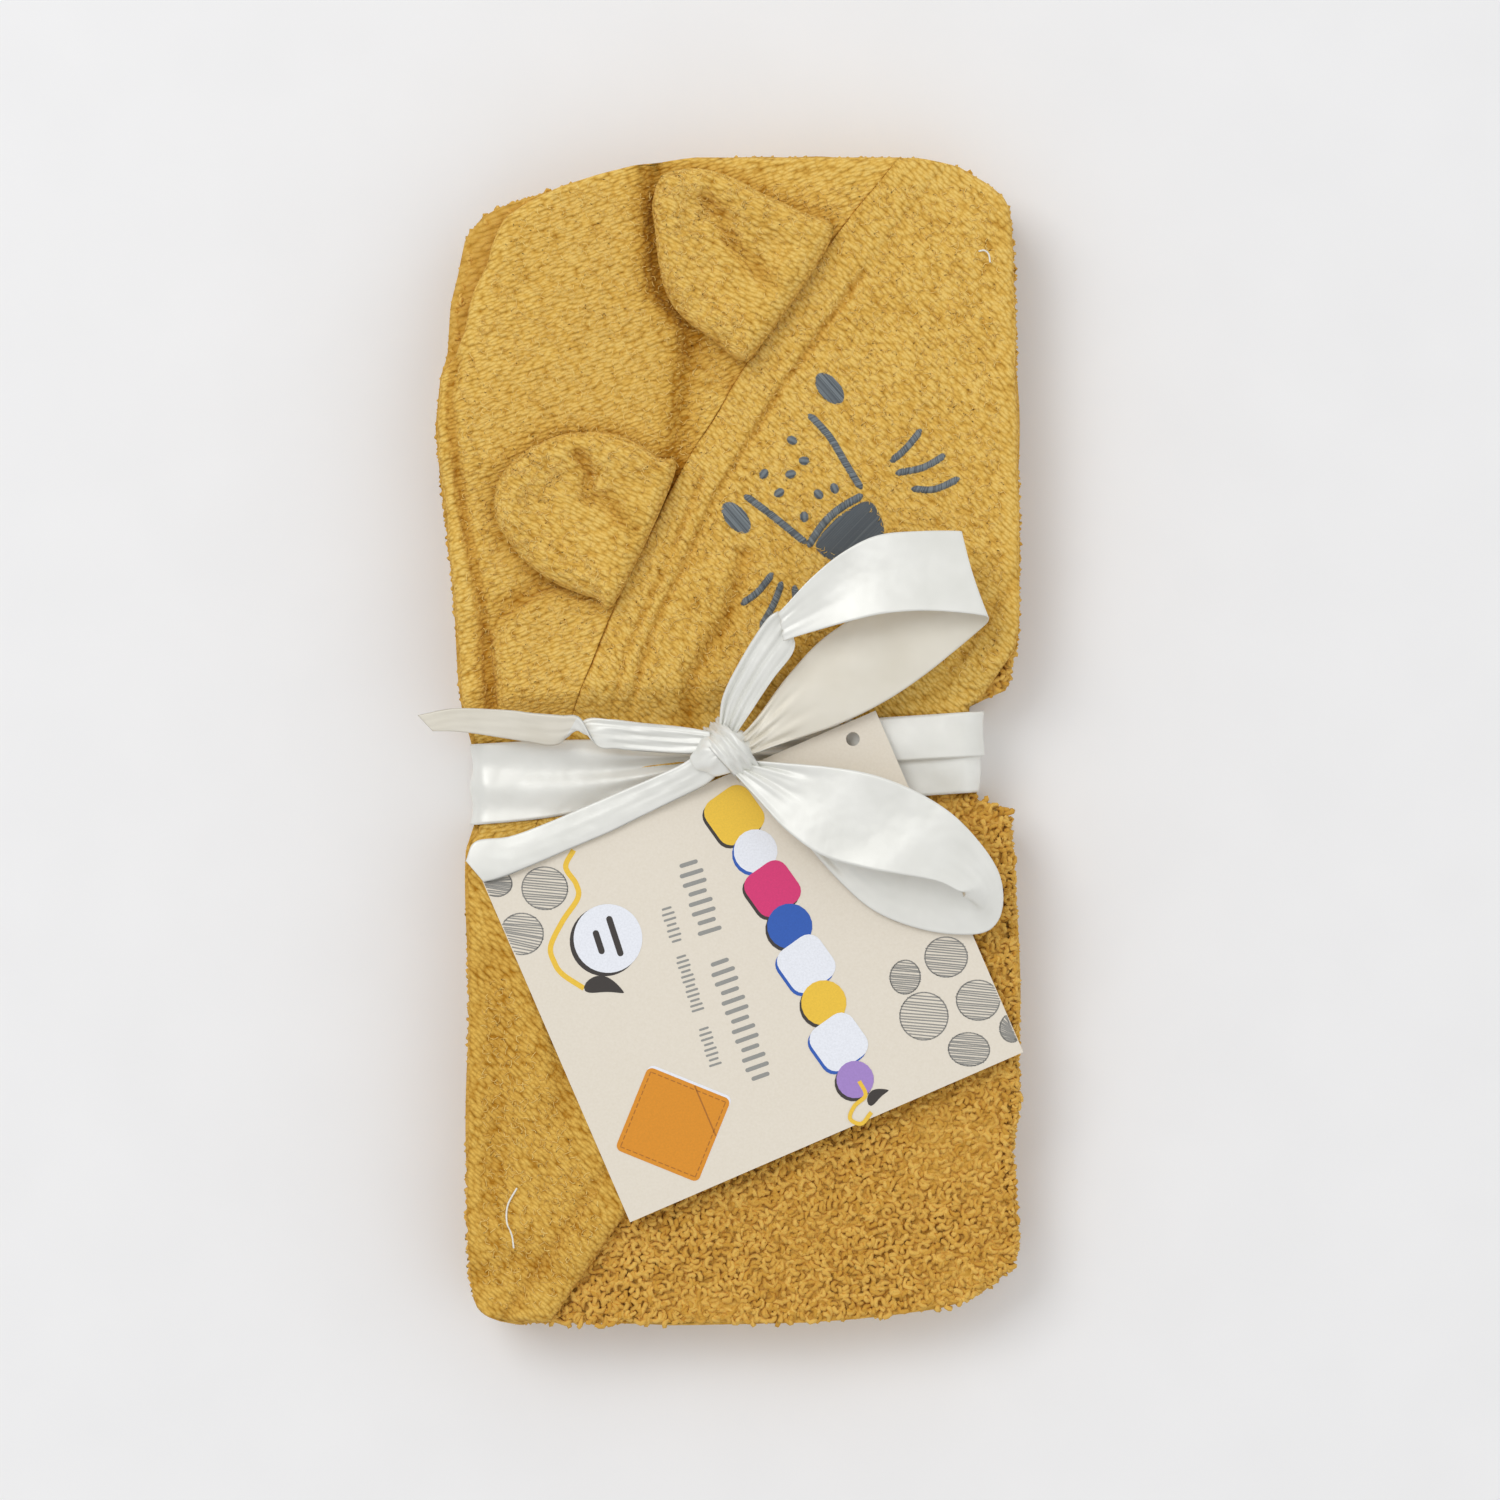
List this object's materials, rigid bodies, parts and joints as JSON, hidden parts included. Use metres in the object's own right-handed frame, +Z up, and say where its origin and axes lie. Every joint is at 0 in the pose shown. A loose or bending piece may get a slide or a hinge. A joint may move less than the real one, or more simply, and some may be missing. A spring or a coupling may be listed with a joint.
{
  "type": "hooded baby towel",
  "caption": "Square hooded baby towel, folded flat with its animal-face hood and ears on top, tied round the waist with a satin ribbon bow that holds a card tag.",
  "frame": {"origin": "middle of the underside of the whole folded bundle", "axes": "+X across the bundle, +Y along it towards the hood's crown, +Z up from the surface it lies on"},
  "size_m": [0.1956, 0.375, 0.0576],
  "materials": {
    "terry": "looped cotton terry, mustard yellow",
    "velour": "cut-pile cotton velour, mustard yellow",
    "thread": "slate grey satin-stitch embroidery thread",
    "satin": "white polyester satin ribbon",
    "card": null
  },
  "bodies": {
    "bundle": {"towel_body": "terry", "hood_crown_panel": "velour", "hood_face_panel": "velour", "eye_left": "thread", "eye_right": "thread", "muzzle_line_right": "thread", "muzzle_line_left": "thread", "whisker_right_1": "thread", "whisker_right_2": "thread", "whisker_right_3": "thread", "whisker_left_1": "thread", "whisker_left_2": "thread", "whisker_left_3": "thread", "freckle_1": "thread", "freckle_2": "thread", "freckle_3": "thread", "freckle_4": "thread", "freckle_5": "thread", "freckle_6": "thread", "freckle_7": "thread", "freckle_8": "thread", "nose_outline": "thread", "nose_pad": "thread", "ribbon_band": "satin", "ribbon_knot": "satin"},
    "ear_left": {"ear_left_back": "velour", "ear_left_front": "velour"},
    "ear_right": {"ear_right_back": "velour", "ear_right_front": "velour"},
    "bow_loop_upper": {"ribbon_loop_upper": "satin"},
    "bow_loop_lower": {"ribbon_loop_lower": "satin"},
    "bow_tail_upper": {"ribbon_tail_upper": "satin"},
    "bow_tail_lower": {"ribbon_tail_lower": "satin"},
    "tag": {"tag_card": "card"}
  },
  "joints": [
    {"name": "ear_left_flop", "type": "hinge", "parent": "bundle", "child": "ear_left", "pos_m": [-0.02282, 0.0645, 0.03925], "axis": [0.4455, 0.8953, 0], "range_deg": [0, 110]},
    {"name": "ear_right_flop", "type": "hinge", "parent": "bundle", "child": "ear_right", "pos_m": [0.02395, 0.142, 0.03925], "axis": [0.5785, 0.8157, 0], "range_deg": [0, 110]},
    {"name": "loop_upper_lift", "type": "hinge", "parent": "bundle", "child": "bow_loop_upper", "pos_m": [0.01012, 0.0024, 0.0472], "axis": [0.5519, -0.8339, 0], "range_deg": [0, 45]},
    {"name": "loop_lower_lift", "type": "hinge", "parent": "bundle", "child": "bow_loop_lower", "pos_m": [0.01072, -0.00817, 0.0457], "axis": [-0.454, -0.891, 0], "range_deg": [0, 45]},
    {"name": "tail_upper_lift", "type": "hinge", "parent": "bundle", "child": "bow_tail_upper", "pos_m": [-0.00907, -0.00221, 0.0372], "axis": [0.1132, 0.9936, 0], "range_deg": [0, 30]},
    {"name": "tail_lower_lift", "type": "hinge", "parent": "bundle", "child": "bow_tail_lower", "pos_m": [-0.00826, -0.00759, 0.0372], "axis": [-0.3987, 0.9171, 0], "range_deg": [0, 30]},
    {"name": "tag_swivel", "type": "hinge", "parent": "bundle", "child": "tag", "pos_m": [0.04327, 0.0003, 0.0354], "axis": [0, 0, 1], "range_deg": [-3, 10]}
  ]
}
